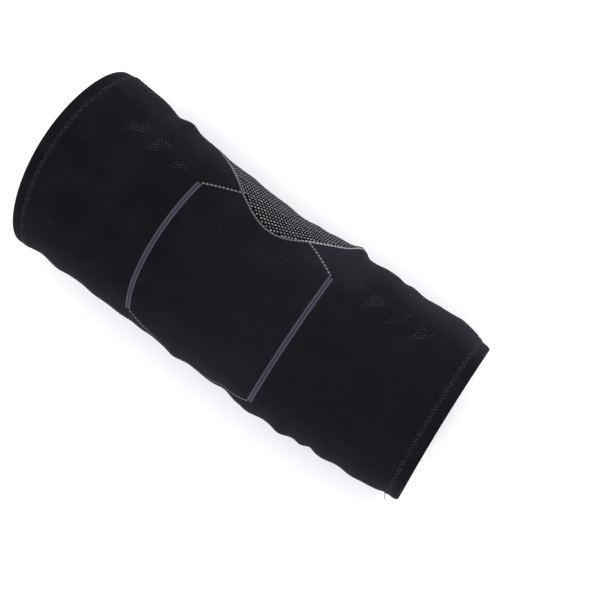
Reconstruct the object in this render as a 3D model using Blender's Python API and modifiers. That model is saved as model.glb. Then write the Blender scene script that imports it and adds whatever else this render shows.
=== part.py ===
"""Knitted elbow pad: a compression sleeve with a soft pad over the point of the elbow.

Frame: metres, +Z up. The sleeve lies on its inner (medial) side, the way it rests on a table.
The elbow's bending axis is vertical and passes through X = Y = 0, and the origin is the point
on the table under it. +X runs down the forearm and +Y points to the crook of the elbow.

Every piece of cloth is cut as a flat pattern and then wrapped on the arm. A pattern has two
coordinates: s, the distance along the arm from the elbow, and phi, the angle round the arm,
0 on the outer side (top), -90 degrees at the crook and +90 degrees at the point of the elbow.
"""

import math

import bmesh
import bpy
from mathutils import Vector

MM = 0.001

# ---- driving dimensions -------------------------------------------------------------------
UPPER_LENGTH = 106.75 * MM  # elbow to the middle of the upper arm cuff
FOREARM_LENGTH = 123.35 * MM  # elbow to the middle of the forearm cuff
REST_BEND = math.radians(6)  # the arm is not quite straight when the sleeve is at rest
BEND_REACH = 45 * MM  # that bend is spread this far each side of the elbow
HALF_WIDTHS = (  # half the sleeve's width, crook to elbow point, at places along the arm
    (-109 * MM, 50.6 * MM),
    (-103 * MM, 50.6 * MM),
    (-50 * MM, 47.8 * MM),
    (0 * MM, 46.8 * MM),
    (36 * MM, 48.5 * MM),
    (70 * MM, 47.8 * MM),
    (112 * MM, 45.9 * MM),
    (118 * MM, 45.2 * MM),
    (126 * MM, 45.2 * MM),
)
DEPTH_SHARE = 0.96  # the section is this much less deep than wide
# A cuff's end is slanted and bowed. These are how far it moves towards the forearm at the elbow
# point side, and the reverse at the crook, and how far it moves both on top and underneath.
UPPER_SLANT = (4.6 * MM, -4.5 * MM)
FOREARM_SLANT = (1.0 * MM, -1.4 * MM)
REST_FLAT = 1.6 * MM  # depth by which the underside is pressed flat on the table
PATTERN_RADIUS = 47 * MM  # turns an angle round the arm into a length on the flat pattern

KNIT = 1.6 * MM  # thickness of the knitted cloth
LINING = 0.8 * MM
GAP = 0.35 * MM  # left between neighbouring pieces
SEAM_WIDTH = 1.1 * MM  # one grey yarn line
STRIPE_WIDTH = 1.3 * MM  # each of the two lines of a double stripe
SEAM_DEPTH = 1.3 * MM
SEAM_PROUD = 0.2 * MM
SEAM_GAP = SEAM_WIDTH / 2 + GAP  # cloth edge to the middle of a single line
STRIPE_GAP = STRIPE_WIDTH + 1.5 * GAP  # cloth edge to the middle of a double line
STRIPE_TRIM = 1.2 * MM  # where seams meet, each line of yarn stops a little short of the corner
PIPING_TRIM = 2.6 * MM
EDGING_TRIM = 1.6 * MM

# ---- the seam pattern, (s, phi in degrees) on the outer side --------------------------------
UPPER_CORNER_FRONT = (-40.5 * MM, -37)  # the four ends of the two double stripes
UPPER_CORNER_BACK = (-33 * MM, 61)
LOWER_CORNER_FRONT = (40.5 * MM, -36)
LOWER_CORNER_BACK = (38.5 * MM, 62)
UPPER_STRIPE_RISE = 2.0 * MM  # how far a stripe bows away from the elbow
LOWER_STRIPE_RISE = 0.5 * MM
BACK_CORNER = (-6 * MM, 84)  # where the side panel comes to a point behind the elbow
LOWER_BACK_BEND = (27 * MM, 70.5)
CROOK_PHI = -90
VENT_SHAPE = (  # the open-knit vent in the crook: how far round it reaches from the crook, at s
    (-56 * MM, 0),
    (-40 * MM, 17),
    (-29 * MM, 29.5),
    (-22 * MM, 37.5),
    (-12 * MM, 45.5),
    (-4 * MM, 49.5),
    (4 * MM, 50),
    (12 * MM, 46.5),
    (20 * MM, 39),
    (29 * MM, 31.5),
    (38 * MM, 20.5),
    (43 * MM, 9),
    (46 * MM, 0),
)
VENT_MIDDLE_S = -2 * MM
UPPER_JUNCTION_S = -22 * MM  # where the side panel's edges meet the vent
LOWER_JUNCTION_S = 20 * MM

# ---- hems ------------------------------------------------------------------------------------
HEM_GROOVE = 1.0 * MM  # the stitching pulls a groove this deep
HEM_GROOVE_EDGES = (3.6 * MM, 4.5 * MM, 8.3 * MM, 9.2 * MM)  # from the cuff's end
GROOVE_SPREAD = 0.45  # a groove is this much wider, each side, for each unit of depth under the cloth
STITCH_ROWS = (5.2 * MM, 7.6 * MM)
STITCH_COUNT = 44
THREAD_RADIUS = 0.25 * MM
RIM_RING = 2.2 * MM  # the sleeve has a ring here, before the groove
ELASTIC_THICKNESS = 0.8 * MM
ELASTIC_WIDTH = 11.5 * MM
GRIP_THICKNESS = 0.8 * MM
GRIP_HALF_WIDTH = 1.5 * MM
GRIP_WAVE = 1.5 * MM
GRIP_WAVES = 12
GRIP_FROM_END = 15.5 * MM
GRIP_RING = 20.5 * MM  # the sleeve has a ring here, so that the grip line lies close under it
TAIL_PHI = 80  # a loose end of the forearm hem's thread
TAIL_LENGTH = 3.2 * MM
TAIL_FROM_END = 9.9 * MM
TAIL_LEAN = 1.8 * MM  # its tip leans this far towards the hand

# ---- pad -------------------------------------------------------------------------------------
PAD_PHI = 90
PAD_CENTRE_S = 3 * MM
PAD_HALF_LENGTH = 38 * MM
PAD_HALF_ANGLE = 36
PAD_THICKNESS = 4 * MM
PAD_POWER = 3  # a rounded rectangle
POCKET_MARGIN = 9 * MM
POCKET_SEAM = 6.5 * MM
POCKET_SHARES = (0, 0.22, 0.44, 0.66, 0.85, 0.9, 1.0)
POCKET_STEP = 0.87  # inside this share of the pocket the lining runs under the pad

WELD = 0.01 * MM
NEAR_PARALLEL = 1e-3

COLOURS = {
    "black_knit": ((0.011, 0.010, 0.014), 0.85),
    "grey_yarn": ((0.085, 0.082, 0.110), 0.75),
    "vent_knit": ((0.045, 0.044, 0.055), 0.80),
    "black_thread": ((0.020, 0.020, 0.024), 0.60),
    "silicone": ((0.030, 0.030, 0.034), 0.35),
    "foam": ((0.060, 0.060, 0.065), 0.90),
    "lining": ((0.016, 0.016, 0.019), 0.85),
    "elastic": ((0.014, 0.014, 0.016), 0.80),
}


# ---- the arm's shape ---------------------------------------------------------------------------
def eased(share):
    return share * share * (3 - 2 * share)


def half_width(s):
    """Half the sleeve's width at s, eased from each station to the next."""
    if s <= HALF_WIDTHS[0][0]:
        return HALF_WIDTHS[0][1]
    for (s0, w0), (s1, w1) in zip(HALF_WIDTHS, HALF_WIDTHS[1:]):
        if s <= s1:
            return w0 + (w1 - w0) * eased((s - s0) / (s1 - s0))
    return HALF_WIDTHS[-1][1]


def groove_edges(lift=0.0):
    """Where the hem groove starts, reaches its depth, starts to rise and ends. Under the cloth it is wider."""
    spread = max(0.0, -lift) * GROOVE_SPREAD
    a, b, c, d = HEM_GROOVE_EDGES
    return a - spread, b - spread, c + spread, d + spread


def groove(from_end, lift):
    """How deep the hem stitching pulls the cloth in, this far from the cuff's end."""
    a, b, c, d = groove_edges(lift)
    if from_end <= a or from_end >= d:
        return 0.0
    if from_end < b:
        return HEM_GROOVE * (from_end - a) / (b - a)
    if from_end > c:
        return HEM_GROOVE * (d - from_end) / (d - c)
    return HEM_GROOVE


def centre_line(s):
    """The arm's centre at s, seen from above: x, y and heading. An arc at the elbow, straight beyond."""
    radius = 2 * BEND_REACH / REST_BEND
    on_arc = max(-BEND_REACH, min(BEND_REACH, s))
    heading = on_arc / radius
    x = radius * math.sin(heading)
    y = radius * (1 - math.cos(heading))
    beyond = s - on_arc
    return x + beyond * math.cos(heading), y + beyond * math.sin(heading), heading


def on_arm(s, phi, lift=0.0):
    """The point of the arm's surface at (s, phi in degrees), raised by lift. The underside is flat."""
    x, y, heading = centre_line(s)
    across = half_width(s)
    depth = across * DEPTH_SHARE
    angle = math.radians(phi)
    to_crook = -math.sin(angle) * (across + lift)
    z = depth - REST_FLAT + math.cos(angle) * (depth + lift)
    lowest = max(0.0, -lift)
    return Vector(
        (
            x - math.sin(heading) * to_crook,
            y + math.cos(heading) * to_crook,
            max(z, lowest),
        )
    )


def cuff_place(cuff_s, from_end, phi):
    """The s of the ring this far from a cuff's slanted end, at phi."""
    inwards, slant = (1, UPPER_SLANT) if cuff_s < 0 else (-1, FOREARM_SLANT)
    angle = math.radians(phi)
    return cuff_s + inwards * from_end + slant[0] * math.sin(angle) + slant[1] * math.cos(angle) ** 2


def on_cuff(cuff_s, from_end, phi, lift=0.0):
    """The point of a cuff's surface this far from its end, raised by lift."""
    return on_arm(cuff_place(cuff_s, from_end, phi), phi, lift - groove(from_end, lift))


# ---- pattern lines -------------------------------------------------------------------------------
def vent_slope(k):
    """The slope of the vent's edge at one of the points that shape it."""
    first, last = max(k - 1, 0), min(k + 1, len(VENT_SHAPE) - 1)
    (s0, angle0), (s1, angle1) = VENT_SHAPE[first], VENT_SHAPE[last]
    return (angle1 - angle0) / (s1 - s0)


def vent_angle(s):
    """How far the vent reaches round the arm from the crook at s, in degrees."""
    k = 0
    while k < len(VENT_SHAPE) - 2 and s > VENT_SHAPE[k + 1][0]:
        k += 1
    (s0, angle0), (s1, angle1) = VENT_SHAPE[k], VENT_SHAPE[k + 1]
    span = s1 - s0
    share = (s - s0) / span
    ease = eased(share)
    rise = vent_slope(k) * share * (1 - share) ** 2 - vent_slope(k + 1) * share**2 * (1 - share)
    return angle0 + (angle1 - angle0) * ease + span * rise


def vent_edge(s_from, s_to):
    """Points of the vent's edge on the outer side, from one s to another."""
    stations = [s for s, _ in VENT_SHAPE]
    stations += [(a + b) / 2 for a, b in zip(stations, stations[1:])]
    low, high = min(s_from, s_to), max(s_from, s_to)
    inner = sorted(s for s in stations if low + WELD < s < high - WELD)
    if s_from > s_to:
        inner.reverse()
    return [(s, CROOK_PHI + vent_angle(s)) for s in (s_from, *inner, s_to)]


def stripe(front, back, rise, count=12):
    """The bowed line of a double stripe, from its crook end to its elbow point end."""
    points = []
    for k in range(count + 1):
        share = k / count
        s = front[0] + (back[0] - front[0]) * share + rise * 4 * share * (1 - share)
        points.append((s, front[1] + (back[1] - front[1]) * share))
    return points


def straight(start, end, count):
    return [
        (start[0] + (end[0] - start[0]) * k / count, start[1] + (end[1] - start[1]) * k / count)
        for k in range(count + 1)
    ]


def trimmed(points, start, end):
    """The line cut short by a length at each end, on the flat pattern."""
    for cut in (end, start):
        points = points[::-1]
        while cut > 0:
            first, second = points[0], points[1]
            across = math.radians(second[1] - first[1]) * PATTERN_RADIUS
            length = math.hypot(second[0] - first[0], across)
            if length > cut + WELD:
                share = cut / length
                cut_point = tuple(a + (b - a) * share for a, b in zip(first, second))
                points = [cut_point, *points[1:]]
                break
            points = points[1:]
            cut -= length
    return points


def mirrored(points):
    """The same line on the inner side of the arm."""
    return [(s, 180 - phi) for s, phi in points]


def moved(points, gaps, closed=False):
    """The line moved sideways, to the left as it runs, on the flat pattern. gaps holds a distance
    for each stretch between points, or one distance for all."""
    flat = [Vector((s, math.radians(phi) * PATTERN_RADIUS)) for s, phi in points]
    count = len(flat)
    stretches = count if closed else count - 1
    if not isinstance(gaps, list):
        gaps = [gaps] * stretches
    normals = []
    for k in range(stretches):
        along = (flat[(k + 1) % count] - flat[k]).normalized()
        normals.append(Vector((-along.y, along.x)))
    result = []
    for k, point in enumerate(flat):
        before = (k - 1) % stretches if closed else max(k - 1, 0)
        after = k if closed else min(k, stretches - 1)
        a, b = normals[before], normals[after]
        turn = a.x * b.y - a.y * b.x
        if abs(turn) < NEAR_PARALLEL:
            shifted = point + a * gaps[before]
        else:
            x = (gaps[before] * b.y - gaps[after] * a.y) / turn
            y = (a.x * gaps[after] - b.x * gaps[before]) / turn
            shifted = point + Vector((x, y))
        result.append((shifted.x, math.degrees(shifted.y / PATTERN_RADIUS)))
    return result


UPPER_JUNCTION = (UPPER_JUNCTION_S, CROOK_PHI + vent_angle(UPPER_JUNCTION_S))
LOWER_JUNCTION = (LOWER_JUNCTION_S, CROOK_PHI + vent_angle(LOWER_JUNCTION_S))
UPPER_STRIPE = stripe(UPPER_CORNER_FRONT, UPPER_CORNER_BACK, -UPPER_STRIPE_RISE)
LOWER_STRIPE = stripe(LOWER_CORNER_FRONT, LOWER_CORNER_BACK, LOWER_STRIPE_RISE)
UPPER_BACK_LINE = straight(UPPER_CORNER_BACK, BACK_CORNER, 5)
LOWER_BACK_LINE = straight(LOWER_CORNER_BACK, LOWER_BACK_BEND, 2)
LOWER_BACK_LINE += straight(LOWER_BACK_BEND, BACK_CORNER, 5)[1:]


def joined(*stretches):
    """One line from several (points, gap) stretches that share their end points, and its gaps."""
    points, gaps = [stretches[0][0][0]], []
    for line, gap in stretches:
        points += line[1:]
        gaps += [gap] * (len(line) - 1)
    return points, gaps


def sleeve_edge(vent_tip, junction, front, stripe_line, back_line, sign):
    """The edge of the upper or forearm sleeve right round the arm, clear of the seams beside it.
    sign is 1 where the cloth lies towards -s, and -1 where it lies towards +s."""
    back_middle = (BACK_CORNER[0], 90)
    half, gaps = joined(
        (vent_edge(vent_tip, junction[0]), sign * SEAM_GAP),
        (straight(junction, front, 3), sign * SEAM_GAP),
        (stripe_line, sign * STRIPE_GAP),
        (back_line, sign * SEAM_GAP),
        (straight(BACK_CORNER, back_middle, 1), sign * GAP),
    )
    other = mirrored(half[::-1])
    whole, whole_gaps = half + other[1:-1], gaps + gaps[::-1]
    before = (whole[-1][0], whole[-1][1] - 360)
    after = (whole[0][0], whole[0][1] + 360)
    return moved([before, *whole, after], [whole_gaps[-1], *whole_gaps])[1:-1]


# ---- building pieces -------------------------------------------------------------------------------
def material(name):
    found = bpy.data.materials.get(name)
    if found:
        return found
    colour, roughness = COLOURS[name]
    made = bpy.data.materials.new(name)
    made.use_nodes = True
    shader = made.node_tree.nodes["Principled BSDF"]
    shader.inputs["Base Color"].default_value = (*colour, 1.0)
    shader.inputs["Roughness"].default_value = roughness
    shader.inputs["Metallic"].default_value = 0.0
    return made


def add_object(name, data, slot):
    piece = bpy.data.objects.new(name, data)
    data.materials.append(material(slot))
    COLLECTION.objects.link(piece)
    return piece


def wrapped(name, columns, rows, place, thickness, slot, closed=False):
    """A cloth piece: a grid whose corner (column, row) goes where place says, thickened inwards."""
    grid = bmesh.new()
    bmesh.ops.create_grid(grid, x_segments=columns, y_segments=rows, size=0.5)
    for corner in grid.verts:
        column = round((corner.co.x + 0.5) * columns)
        row = round((corner.co.y + 0.5) * rows)
        corner.co = place(column, row)
    if closed:
        bmesh.ops.remove_doubles(grid, verts=grid.verts, dist=WELD)
    face_out(grid)
    data = bpy.data.meshes.new(name)
    grid.to_mesh(data)
    grid.free()
    piece = add_object(name, data, slot)
    shell = piece.modifiers.new("thickness", "SOLIDIFY")
    shell.thickness = thickness
    shell.offset = -1
    shell.use_even_offset = True
    data.shade_smooth()
    data.set_sharp_from_angle(angle=math.radians(35))
    return piece


def face_out(grid):
    """Turns the grid over if its faces point to the arm's middle."""
    grid.normal_update()
    outward = 0.0
    for face in grid.faces:
        middle = face.calc_center_median()
        axis_height = half_width(middle.x) * DEPTH_SHARE
        outward += face.normal.dot(Vector((0, middle.y, middle.z - axis_height)))
    if outward < 0:
        bmesh.ops.reverse_faces(grid, faces=grid.faces)


def sleeve(name, cuff_s, edge):
    """A tube of cloth from its cuff to a shaped edge."""
    rings = [0.0, RIM_RING, *groove_edges(), GRIP_RING]
    spans = 5
    columns = len(edge)

    def place(column, row):
        s_edge, phi = edge[column % columns]
        if row < len(rings):
            return on_cuff(cuff_s, rings[row], phi)
        share = (row - len(rings) + 1) / spans
        start = cuff_place(cuff_s, rings[-1], phi)
        return on_arm(start + (s_edge - start) * share, phi)

    rows = len(rings) - 1 + spans
    wrapped(name, columns, rows, place, KNIT, "black_knit", closed=True)


def star_panel(name, centre, outline, thickness, slot, shares, lift=lambda share: 0.0):
    """A cloth panel in rings from a centre out to its outline. shares says how far out each ring is,
    and lift how high it lies."""
    count = len(outline)

    def place(column, row):
        s, phi = outline[column % count]
        share = shares[row]
        out_s = centre[0] + (s - centre[0]) * share
        out_phi = centre[1] + (phi - centre[1]) * share
        return on_arm(out_s, out_phi, lift(share))

    wrapped(name, count, len(shares) - 1, place, thickness, slot, closed=True)


def even_shares(rings):
    return [k / rings for k in range(rings + 1)]


def yarn_line(name, path, shift=0.0, closed=False, width=SEAM_WIDTH):
    """One grey line of yarn let into the seam along path, moved sideways by shift."""
    left = moved(path, shift + width / 2, closed)
    right = moved(path, shift - width / 2, closed)
    sides = (left, right)
    count = len(path)
    columns = count if closed else count - 1

    def place(column, row):
        s, phi = sides[row][column % count]
        return on_arm(s, phi, SEAM_PROUD)

    return wrapped(name, columns, 1, place, SEAM_DEPTH, "grey_yarn", closed)


def band(name, cuff_s, rows_of, columns, lift, thickness, slot):
    """A ring inside a cuff. rows_of gives each row's distance from the cuff's end, at an angle."""

    def place(column, row):
        phi = 360 * column / columns
        return on_cuff(cuff_s, rows_of(phi)[row], phi, lift)

    rows = len(rows_of(0)) - 1
    wrapped(name, columns, rows, place, thickness, slot, closed=True)


def thread(name, points, closed=True):
    """Sewing thread through the points."""
    data = bpy.data.curves.new(name, "CURVE")
    data.dimensions = "3D"
    data.bevel_depth = THREAD_RADIUS
    data.bevel_resolution = 0
    data.use_fill_caps = not closed
    spline = data.splines.new("POLY")
    spline.points.add(len(points) - 1)
    for knot, place in zip(spline.points, points):
        knot.co = (*place, 1.0)
    spline.use_cyclic_u = closed
    add_object(name, data, "black_thread")


def rounded_outline(centre, half_s, half_phi, power, count=36):
    """A closed outline between an ellipse and a rectangle, as (s, phi) points."""
    points = []
    for k in range(count):
        turn = 2 * math.pi * k / count
        c, d = math.cos(turn), math.sin(turn)
        points.append(
            (
                centre[0] + half_s * math.copysign(abs(c) ** (2 / power), c),
                centre[1] + half_phi * math.copysign(abs(d) ** (2 / power), d),
            )
        )
    return points


# ---- the pieces -----------------------------------------------------------------------------------
def make_sleeves():
    upper = sleeve_edge(
        VENT_SHAPE[0][0], UPPER_JUNCTION, UPPER_CORNER_FRONT, UPPER_STRIPE, UPPER_BACK_LINE, 1
    )
    lower = sleeve_edge(
        VENT_SHAPE[-1][0], LOWER_JUNCTION, LOWER_CORNER_FRONT, LOWER_STRIPE, LOWER_BACK_LINE, -1
    )
    sleeve("upper_sleeve", -UPPER_LENGTH, upper)
    sleeve("forearm_sleeve", FOREARM_LENGTH, lower)


def make_side_panels():
    outline, gaps = joined(
        (UPPER_STRIPE, -STRIPE_GAP),
        (UPPER_BACK_LINE, -SEAM_GAP),
        (LOWER_BACK_LINE[::-1], -SEAM_GAP),
        (LOWER_STRIPE[::-1], -STRIPE_GAP),
        (straight(LOWER_CORNER_FRONT, LOWER_JUNCTION, 3), -SEAM_GAP),
        (vent_edge(LOWER_JUNCTION_S, UPPER_JUNCTION_S), -SEAM_GAP),
        (straight(UPPER_JUNCTION, UPPER_CORNER_FRONT, 3), -SEAM_GAP),
    )
    inset = moved(outline[:-1], gaps, closed=True)
    middle = (3 * MM, 10)
    rings = even_shares(7)
    star_panel("lateral_panel", middle, inset, KNIT, "black_knit", rings)
    star_panel("medial_panel", mirrored([middle])[0], mirrored(inset), KNIT, "black_knit", rings)


def make_vent():
    half = vent_edge(VENT_SHAPE[0][0], VENT_SHAPE[-1][0])
    other = [(s, 2 * CROOK_PHI - phi) for s, phi in half[::-1]]
    outline = half + other[1:-1]
    inset = moved(outline, -SEAM_GAP, closed=True)
    middle = (VENT_MIDDLE_S, CROOK_PHI)
    star_panel("crook_vent", middle, inset, KNIT, "vent_knit", even_shares(5))
    yarn_line("crook_vent_edging", outline, closed=True)


def make_stripes():
    pitch = (STRIPE_WIDTH + GAP) / 2
    for side, turned in (("lateral", lambda line: line), ("medial", mirrored)):
        for end, line in (("upper", UPPER_STRIPE), ("forearm", LOWER_STRIPE)):
            outer = 1 if end == "upper" else -1
            outer *= 1 if side == "lateral" else -1
            path = turned(trimmed(line, STRIPE_TRIM, STRIPE_TRIM))
            for place, shift in (("outer", outer * pitch), ("inner", -outer * pitch)):
                yarn_line(f"{side}_{end}_stripe_{place}", path, shift, width=STRIPE_WIDTH)
        for end, junction, front, back in (
            ("upper", UPPER_JUNCTION, UPPER_CORNER_FRONT, UPPER_BACK_LINE),
            ("forearm", LOWER_JUNCTION, LOWER_CORNER_FRONT, LOWER_BACK_LINE),
        ):
            front_line = trimmed(straight(junction, front, 6), EDGING_TRIM, PIPING_TRIM)
            back_line = trimmed(back, PIPING_TRIM, EDGING_TRIM)
            yarn_line(f"{side}_{end}_front_piping", turned(front_line))
            yarn_line(f"{side}_{end}_back_piping", turned(back_line))


def make_cuff(end, cuff_s):
    """What one cuff holds: the elastic inside it, the zigzag stitching and the silicone grip line."""
    under = -(KNIT + 1.6 * GAP)
    rings = [GAP, *groove_edges(under), ELASTIC_WIDTH]
    band(
        f"{end}_cuff_elastic", cuff_s, lambda phi: rings, 44, under, ELASTIC_THICKNESS, "elastic"
    )

    def grip(phi):
        middle = GRIP_FROM_END + GRIP_WAVE * math.sin(math.radians(phi) * GRIP_WAVES)
        return [middle - GRIP_HALF_WIDTH, middle + GRIP_HALF_WIDTH]

    columns = 4 * GRIP_WAVES
    band(f"{end}_grip_line", cuff_s, grip, columns, under - 0.4 * GAP, GRIP_THICKNESS, "silicone")

    height = GAP + THREAD_RADIUS
    turns = [
        on_cuff(cuff_s, STITCH_ROWS[k % 2], 180 * k / STITCH_COUNT, height)
        for k in range(2 * STITCH_COUNT)
    ]
    thread(f"{end}_hem_stitching", turns)


def make_thread_tail():
    """The cut end of the forearm hem's thread, which sticks out past the back of the cuff."""
    height = 2 * GAP + THREAD_RADIUS
    knots = []
    for share in (0.0, 0.35, 0.7, 1.0):
        from_end = TAIL_FROM_END - TAIL_LEAN * share * share
        lift = height + TAIL_LENGTH * share * share
        knots.append(on_cuff(FOREARM_LENGTH, from_end, TAIL_PHI + 2 * share, lift))
    thread("forearm_thread_tail", knots, closed=False)


def make_pad():
    """The foam pad over the point of the elbow, the lining that holds it and the lining's seam."""
    centre = (PAD_CENTRE_S, PAD_PHI)

    def outline(margin):
        angle = math.degrees(margin / PATTERN_RADIUS)
        return rounded_outline(centre, PAD_HALF_LENGTH + margin, PAD_HALF_ANGLE + angle, PAD_POWER)

    top = -(KNIT + 2 * GAP)
    under_pad = top - PAD_THICKNESS - GAP
    star_panel(
        "elbow_pad", centre, outline(0.0), PAD_THICKNESS, "foam", even_shares(4), lambda share: top
    )

    def dish(share):
        return under_pad if share < POCKET_STEP else top

    star_panel(
        "pad_pocket", centre, outline(POCKET_MARGIN), LINING, "lining", POCKET_SHARES, dish
    )
    seam_lift = top - LINING - GAP - THREAD_RADIUS
    seam = outline(POCKET_SEAM)
    thread("pad_pocket_stitching", [on_arm(s, phi, seam_lift) for s, phi in seam])


for leftover in list(bpy.data.objects):
    bpy.data.objects.remove(leftover, do_unlink=True)
COLLECTION = bpy.data.collections.new("elbow_pad")
bpy.context.scene.collection.children.link(COLLECTION)

make_sleeves()
make_side_panels()
make_vent()
make_stripes()
make_cuff("upper", -UPPER_LENGTH)
make_cuff("forearm", FOREARM_LENGTH)
make_thread_tail()
make_pad()
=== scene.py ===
"""Looks of the knitted elbow pad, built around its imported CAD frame.

+X runs down the forearm, +Y points to the crook of the elbow and +Z is up, out of the sleeve's
outer side. Cloth is placed by s, the distance along the arm from the elbow, and phi, the angle
round it: 0 on top, -90 at the crook and 90 at the point of the elbow. lift is the height over
the arm's skin-side form.
"""

import math

import bmesh
import bpy
import numpy as np
from mathutils import Matrix, Vector


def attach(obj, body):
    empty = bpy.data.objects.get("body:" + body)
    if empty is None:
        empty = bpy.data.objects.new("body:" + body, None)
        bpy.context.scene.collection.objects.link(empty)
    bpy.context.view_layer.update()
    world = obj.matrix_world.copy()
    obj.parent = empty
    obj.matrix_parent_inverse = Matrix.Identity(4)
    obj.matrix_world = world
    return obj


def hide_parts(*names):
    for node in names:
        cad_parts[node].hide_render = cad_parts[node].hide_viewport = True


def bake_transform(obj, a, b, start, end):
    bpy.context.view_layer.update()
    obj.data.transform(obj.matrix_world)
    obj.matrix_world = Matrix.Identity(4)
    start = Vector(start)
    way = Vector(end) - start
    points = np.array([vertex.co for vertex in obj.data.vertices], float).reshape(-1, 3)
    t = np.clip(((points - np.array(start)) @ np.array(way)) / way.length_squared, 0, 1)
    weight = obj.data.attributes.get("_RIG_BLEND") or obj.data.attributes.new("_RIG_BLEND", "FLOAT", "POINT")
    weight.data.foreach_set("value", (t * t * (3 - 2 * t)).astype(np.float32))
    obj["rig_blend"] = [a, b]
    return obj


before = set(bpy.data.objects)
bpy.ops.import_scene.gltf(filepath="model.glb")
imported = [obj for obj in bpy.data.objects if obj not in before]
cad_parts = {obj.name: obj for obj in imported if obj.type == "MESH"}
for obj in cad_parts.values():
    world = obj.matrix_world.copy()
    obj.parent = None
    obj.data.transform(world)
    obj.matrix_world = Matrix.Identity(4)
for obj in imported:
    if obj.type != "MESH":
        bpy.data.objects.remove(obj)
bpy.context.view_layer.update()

MM = 0.001

# ---- the sleeve's form, as the CAD has it ----------------------------------------------------
UPPER_END = -106.75 * MM
FOREARM_END = 123.35 * MM
REST_BEND = math.radians(6)
BEND_REACH = 45 * MM
STATIONS = np.array([-109, -103, -50, 0, 36, 70, 112, 118, 126]) * MM
HALF_WIDTHS = np.array([50.6, 50.6, 47.8, 46.8, 48.5, 47.8, 45.9, 45.2, 45.2]) * MM
DEPTH_SHARE = 0.96
REST_FLAT = 1.6 * MM
REST_ROUND = 1.3 * MM  # how softly the cloth turns up beside the flat it rests on
# how far a cuff's end moves at the elbow point, and on top and below
UPPER_SLANT, FOREARM_SLANT = (4.6 * MM, -4.5 * MM), (1.0 * MM, -1.4 * MM)
PATTERN_RADIUS = 47 * MM
KNIT = 1.6 * MM

UPPER_FRONT, UPPER_BACK = (-40.5 * MM, -37), (-33 * MM, 61)  # the ends of the double stripes
LOWER_FRONT, LOWER_BACK = (40.5 * MM, -36), (38.5 * MM, 62)
UPPER_RISE, LOWER_RISE = -2.0 * MM, 0.5 * MM  # how far each double stripe bows along the arm
BACK_CORNER = (-6 * MM, 84)
LOWER_BACK_BEND = (27 * MM, 70.5)
CROOK_PHI = -90
VENT_S = np.array([-56, -40, -29, -22, -12, -4, 4, 12, 20, 29, 38, 43, 46]) * MM
VENT_ANGLES = np.array([0, 17, 29.5, 37.5, 45.5, 49.5, 50, 46.5, 39, 31.5, 20.5, 9, 0])
VENT_MIDDLE_S = -2 * MM
UPPER_JUNCTION_S, LOWER_JUNCTION_S = -22 * MM, 20 * MM

# Folds and dents that stretched knit takes on an arm: s and its half length in mm, phi and its
# half angle in degrees, and the height in mm.
FOLDS = (
    (-110, -86, -1.4, 4.0, 30),
    (-88, -90, 0.3, 5.0, 30),
    (-77, -88, -0.8, 4.0, 34),
    (-69, -88, 1.4, 4.0, 34),
    (-42, -90, -0.5, 5.0, 26),
    (-27, -90, 0.4, 4.0, 30),
    (5, -92, -0.8, 6.0, 40),
    (11, -90, -0.5, 4.0, 30),
    (22, -90, -0.6, 4.5, 30),
    (42.2, -94, 2.0, 4.0, 26),
    (48.5, -92, -0.5, 2.2, 30),
    (52, -92, -1.0, 4.5, 32),
    (70, -90, -0.9, 3.3, 30),
    (82, -90, -1.0, 6.0, 36),
    (103, -90, 1.0, 6.0, 34),
    (121.5, -90, -2.8, 8.0, 42),
    (-87, 90, -1.1, 5.5, 30),
    (-76, 90, 0.5, 4.0, 26),
    (-54, 90, 0.7, 5.5, 28),
    (-31, 90, -0.7, 4.5, 26),
    (-20, 88, -0.6, 5.0, 26),
    (-5, 88, 1.4, 5.0, 24),
    (24, 90, -1.6, 5.0, 30),
    (39, 90, 0.8, 4.0, 26),
    (57, 90, 1.9, 5.0, 28),
    (69, 90, 0.85, 3.0, 24),
    (74, 90, -0.95, 2.4, 24),
    (82, 90, 0.85, 5.0, 28),
    (99, 90, 1.5, 6.5, 30),
    (109, 90, 1.0, 6.0, 38),
)


def half_width(s):
    """Half the sleeve's width from crook to elbow point at s."""
    s = np.clip(s, STATIONS[0], STATIONS[-1])
    k = np.clip(np.searchsorted(STATIONS, s) - 1, 0, len(STATIONS) - 2)
    share = (s - STATIONS[k]) / (STATIONS[k + 1] - STATIONS[k])
    return HALF_WIDTHS[k] + (HALF_WIDTHS[k + 1] - HALF_WIDTHS[k]) * share**2 * (3 - 2 * share)


def turned(phi):
    """phi as an angle from -180 to 180."""
    return (np.asarray(phi, float) + 180) % 360 - 180


def folds(s, phi):
    """The height of the cloth's folds over the smooth form."""
    height = np.zeros(np.broadcast(s, phi).shape)
    for at, angle, high, length, spread in FOLDS:
        away = ((s / MM - at) / length) ** 2 + (turned(phi - angle) / spread) ** 2
        height = height + high * MM * np.exp(-away)
    # small uneven waves all over, which die out towards the cuffs
    turn = np.radians(phi)
    slow = np.sin(s / (9 * MM) + 1.7 * np.sin(turn + 0.4)) * np.sin(2 * turn + 0.9)
    fast = np.sin(s / (4.1 * MM) + 2.6 * np.sin(turn * 2 - 0.6)) * np.sin(3 * turn + s / (31 * MM))
    from_end = np.minimum(s - UPPER_END, FOREARM_END - s)
    calm = np.clip(from_end / (16 * MM), 0, 1)
    return height + calm * (0.16 * MM * slow + 0.07 * MM * fast)


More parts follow.
